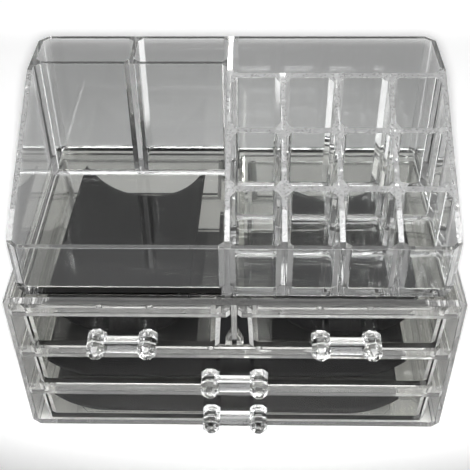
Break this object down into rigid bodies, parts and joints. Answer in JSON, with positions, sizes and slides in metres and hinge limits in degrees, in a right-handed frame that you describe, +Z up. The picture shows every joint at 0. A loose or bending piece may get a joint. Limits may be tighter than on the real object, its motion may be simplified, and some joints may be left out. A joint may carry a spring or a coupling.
{
  "type": "makeup organizer",
  "caption": "Clear plastic makeup organizer: a chest of small and full-width drawers under a lift-off divided tray with lipstick cells.",
  "frame": {"origin": "on the table, in the middle of the box around the object, handles included", "axes": "X to the right, Y to the back, Z up; the drawers open towards -Y"},
  "size_m": [0.24, 0.151, 0.1842],
  "materials": {
    "clear_plastic": "clear, polished",
    "black_liner": "matt"
  },
  "bodies": {
    "chest": {"case_shell": "clear_plastic", "corner_feet": "clear_plastic", "left_runners": "clear_plastic", "right_runners": "clear_plastic", "centre_divider": "clear_plastic"},
    "small_left": {"small_left_drawer": "clear_plastic", "small_left_handle_posts": "clear_plastic", "small_left_handle_bar": "clear_plastic", "small_left_liner": "black_liner"},
    "small_right": {"small_right_drawer": "clear_plastic", "small_right_handle_posts": "clear_plastic", "small_right_handle_bar": "clear_plastic", "small_right_liner": "black_liner"},
    "wide_upper": {"wide_upper_drawer": "clear_plastic", "wide_upper_handle_posts": "clear_plastic", "wide_upper_handle_bar": "clear_plastic", "wide_upper_liner": "black_liner"},
    "wide_lower": {"wide_lower_drawer": "clear_plastic", "wide_lower_handle_posts": "clear_plastic", "wide_lower_handle_bar": "clear_plastic", "wide_lower_liner": "black_liner"},
    "tray": {"organizer_tray": "clear_plastic"}
  },
  "joints": [
    {"name": "small_left_slide", "type": "slide", "parent": "chest", "child": "small_left", "axis": [0, -1, 0], "range_m": [0, 0.095]},
    {"name": "small_right_slide", "type": "slide", "parent": "chest", "child": "small_right", "axis": [0, -1, 0], "range_m": [0, 0.095]},
    {"name": "wide_upper_slide", "type": "slide", "parent": "chest", "child": "wide_upper", "axis": [0, -1, 0], "range_m": [0, 0.095]},
    {"name": "wide_lower_slide", "type": "slide", "parent": "chest", "child": "wide_lower", "axis": [0, -1, 0], "range_m": [0, 0.095]},
    {"name": "tray_lift", "type": "slide", "parent": "chest", "child": "tray", "axis": [0, 0, 1], "range_m": [0, 0.1]}
  ]
}
